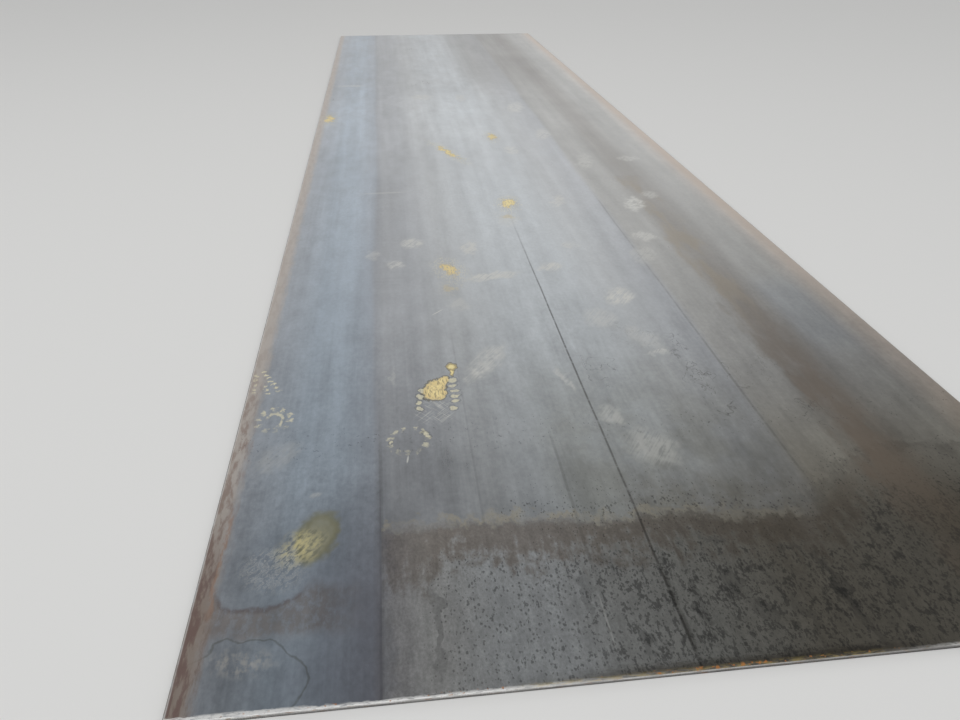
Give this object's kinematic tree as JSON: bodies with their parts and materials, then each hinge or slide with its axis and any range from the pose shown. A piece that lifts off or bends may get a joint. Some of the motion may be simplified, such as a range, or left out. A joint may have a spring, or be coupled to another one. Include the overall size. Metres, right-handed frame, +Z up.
{
  "type": "steel plate",
  "caption": "Flat hot-rolled steel plate, long and rectangular, with sheared ends and rounded mill edges.",
  "frame": {"origin": "centre of the plate's underside", "axes": "+Y along the plate, from the stained end to the clean one, +X across it, +Z up out of the top face"},
  "size_m": [1.5, 6, 0.008],
  "materials": {
    "mill_scale_steel": "hot-rolled mill scale, blue-grey, with rust, dirt and water stains near one end"
  },
  "bodies": {
    "root": {"steel_plate": "mill_scale_steel"}
  },
  "joints": []
}
